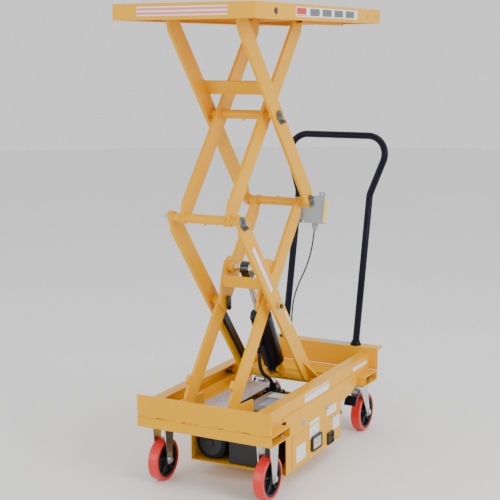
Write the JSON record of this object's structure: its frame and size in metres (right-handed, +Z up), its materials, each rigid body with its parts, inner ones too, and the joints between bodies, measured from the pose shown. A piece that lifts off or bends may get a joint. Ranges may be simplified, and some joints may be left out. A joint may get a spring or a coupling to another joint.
{
  "type": "scissor lift table",
  "caption": "Battery powered double scissor lift table on casters, with a flat steel platform, hydraulic cylinder, push handle and pendant control.",
  "frame": {"origin": "on the floor under the middle of the whole machine, with the lift fully raised", "axes": "+X to the front end, away from the push handle; +Y across to the side with the battery gauge; +Z up"},
  "size_m": [1.2339, 0.52, 1.6404],
  "materials": {
    "paint": "glossy yellow-orange powder coat",
    "zinc": "bright zinc plated steel",
    "steel": "turned steel",
    "chrome": "polished hard chrome",
    "black_paint": "gloss black enamel",
    "tread": "red polyurethane tread, satin",
    "core": "black moulded wheel core",
    "black_plastic": "black moulded plastic",
    "yellow_plastic": "yellow moulded plastic",
    "red_plastic": "red moulded plastic",
    "cord": "black cable sheath",
    "grey_paint": "grey-brown painted case"
  },
  "bodies": {
    "chassis": {"rail_left": "paint", "rail_right": "paint", "front_crosstube": "paint", "rear_crosstube": "paint", "front_end_plate": "paint", "rear_end_plate": "paint", "base_pivots": "paint", "side_panel": "paint", "power_tray": "paint", "hydraulic_unit": "black_paint", "battery": "black_plastic", "charger": "grey_paint", "power_covers": "paint", "panel_instruments": "black_plastic", "chassis_fasteners": "zinc", "push_handle": "black_paint", "front_caster_forks": "zinc", "swivel_plates": "zinc", "pendant_plate": "zinc", "pendant_case": "yellow_plastic", "pendant_cord": "cord", "hydraulic_hose": "cord"},
    "lower_inner_stage": {"lower_inner_arms": "paint", "lower_inner_tube": "paint", "cylinder_bracket": "paint", "lower_centre_pins": "steel"},
    "lower_outer_stage": {"lower_outer_arms": "paint", "lower_outer_tube": "paint", "front_mid_pin": "steel", "maintenance_prop": "black_paint"},
    "upper_outer_stage": {"upper_outer_arms": "paint", "upper_cross_plate": "paint", "upper_pins": "steel"},
    "upper_inner_stage": {"upper_inner_arms": "paint", "upper_inner_tubes": "paint"},
    "platform": {"platform_top": "paint", "platform_tracks": "paint", "platform_pivots": "paint"},
    "cylinder": {"cylinder_barrel": "black_paint"},
    "ram": {"cylinder_rod": "chrome"},
    "lower_roller_l": {"lower_roller_left": "steel"},
    "lower_roller_r": {"lower_roller_right": "steel"},
    "upper_roller_l": {"upper_roller_left": "steel"},
    "upper_roller_r": {"upper_roller_right": "steel"},
    "front_wheel_l": {"front_tread_left": "tread", "front_wheel_core_left": "core"},
    "front_wheel_r": {"front_tread_right": "tread", "front_wheel_core_right": "core"},
    "swivel_l": {"swivel_fork_left": "zinc"},
    "swivel_r": {"swivel_fork_right": "zinc"},
    "rear_wheel_l": {"rear_tread_left": "tread", "rear_wheel_core_left": "core"},
    "rear_wheel_r": {"rear_tread_right": "tread", "rear_wheel_core_right": "core"},
    "pedal_l": {"brake_pedal_left": "black_paint"},
    "pedal_r": {"brake_pedal_right": "black_paint"},
    "up_key": {"up_button": "black_plastic"},
    "down_key": {"down_button": "black_plastic"},
    "stop_key": {"stop_button": "red_plastic"},
    "lowering_handle": {"lowering_lever": "zinc"}
  },
  "joints": [
    {"name": "lift", "type": "hinge", "parent": "chassis", "child": "lower_inner_stage", "pos_m": [0.482, 0, 0.284], "axis": [0, -1, 0], "range_deg": [0, 44.5], "deforming": ["hydraulic_hose"]},
    {"name": "lower_cross", "type": "hinge", "parent": "lower_inner_stage", "child": "lower_outer_stage", "pos_m": [0.21333, 0, 0.6146], "axis": [0, -1, 0], "range_deg": [-89.1, 0]},
    {"name": "rear_mid", "type": "hinge", "parent": "lower_inner_stage", "child": "upper_outer_stage", "pos_m": [-0.05534, 0, 0.94519], "axis": [0, -1, 0], "range_deg": [-89.1, 0]},
    {"name": "upper_cross", "type": "hinge", "parent": "upper_outer_stage", "child": "upper_inner_stage", "pos_m": [0.21333, 0, 1.27579], "axis": [0, -1, 0], "range_deg": [0, 89.1]},
    {"name": "platform_hinge", "type": "hinge", "parent": "upper_outer_stage", "child": "platform", "pos_m": [0.482, 0, 1.60638], "axis": [0, -1, 0], "range_deg": [0, 44.6]},
    {"name": "cylinder_tilt", "type": "hinge", "parent": "lower_outer_stage", "child": "cylinder", "pos_m": [-0.031, 0, 0.322], "axis": [0, -1, 0], "range_deg": [0, 8.1]},
    {"name": "ram_stroke", "type": "slide", "parent": "cylinder", "child": "ram", "axis": [0.4768, 0, 0.879], "range_m": [-0.1655, 0]},
    {"name": "lower_roller_l_spin", "type": "hinge", "parent": "lower_outer_stage", "child": "lower_roller_l", "pos_m": [-0.05534, 0.205, 0.284], "axis": [0, 1, 0], "continuous": true},
    {"name": "upper_roller_l_spin", "type": "hinge", "parent": "upper_inner_stage", "child": "upper_roller_l", "pos_m": [-0.05534, 0.104, 1.60638], "axis": [0, 1, 0], "continuous": true},
    {"name": "front_wheel_l_spin", "type": "hinge", "parent": "chassis", "child": "front_wheel_l", "pos_m": [0.438, 0.206, 0.075], "axis": [0, 1, 0], "continuous": true},
    {"name": "swivel_l_turn", "type": "hinge", "parent": "chassis", "child": "swivel_l", "pos_m": [-0.349, 0.206, 0.19], "axis": [0, 0, 1], "continuous": true},
    {"name": "rear_wheel_l_spin", "type": "hinge", "parent": "swivel_l", "child": "rear_wheel_l", "pos_m": [-0.393, 0.206, 0.075], "axis": [0, 1, 0], "continuous": true},
    {"name": "brake_l", "type": "hinge", "parent": "swivel_l", "child": "pedal_l", "pos_m": [-0.309, 0.206, 0.178], "axis": [0, 1, 0], "range_deg": [0, 14]},
    {"name": "lower_roller_r_spin", "type": "hinge", "parent": "lower_outer_stage", "child": "lower_roller_r", "pos_m": [-0.05534, -0.205, 0.284], "axis": [0, 1, 0], "continuous": true},
    {"name": "upper_roller_r_spin", "type": "hinge", "parent": "upper_inner_stage", "child": "upper_roller_r", "pos_m": [-0.05534, -0.104, 1.60638], "axis": [0, 1, 0], "continuous": true},
    {"name": "front_wheel_r_spin", "type": "hinge", "parent": "chassis", "child": "front_wheel_r", "pos_m": [0.438, -0.206, 0.075], "axis": [0, 1, 0], "continuous": true},
    {"name": "swivel_r_turn", "type": "hinge", "parent": "chassis", "child": "swivel_r", "pos_m": [-0.349, -0.206, 0.19], "axis": [0, 0, 1], "continuous": true},
    {"name": "rear_wheel_r_spin", "type": "hinge", "parent": "swivel_r", "child": "rear_wheel_r", "pos_m": [-0.393, -0.206, 0.075], "axis": [0, 1, 0], "continuous": true},
    {"name": "brake_r", "type": "hinge", "parent": "swivel_r", "child": "pedal_r", "pos_m": [-0.309, -0.206, 0.178], "axis": [0, 1, 0], "range_deg": [0, 14]},
    {"name": "up_press", "type": "slide", "parent": "chassis", "child": "up_key", "axis": [0.9769, 0, 0.2137], "range_m": [0, 0.004], "stiffness_N_per_m": 400, "springref_m": -0.004},
    {"name": "down_press", "type": "slide", "parent": "chassis", "child": "down_key", "axis": [0.9769, 0, 0.2137], "range_m": [0, 0.004], "stiffness_N_per_m": 400, "springref_m": -0.004},
    {"name": "stop_press", "type": "slide", "parent": "chassis", "child": "stop_key", "axis": [0.9769, 0, 0.2137], "range_m": [0, 0.005]},
    {"name": "lowering_pull", "type": "hinge", "parent": "chassis", "child": "lowering_handle", "pos_m": [-0.188, 0.19, 0.214], "axis": [0, 1, 0], "range_deg": [0, 20], "stiffness_Nm_per_rad": 1, "springref_deg": -17.19}
  ],
  "couplings": [
    {"joint": "lower_cross", "follows": "lift", "ratio": -2},
    {"joint": "rear_mid", "follows": "lift", "ratio": -2},
    {"joint": "upper_cross", "follows": "lift", "ratio": 2},
    {"joint": "platform_hinge", "follows": "lift", "ratio": 1},
    {"joint": "cylinder_tilt", "follows": "lift", "ratio": 0.17877},
    {"joint": "ram_stroke", "follows": "lift", "m_per_rad": -0.2125}
  ]
}
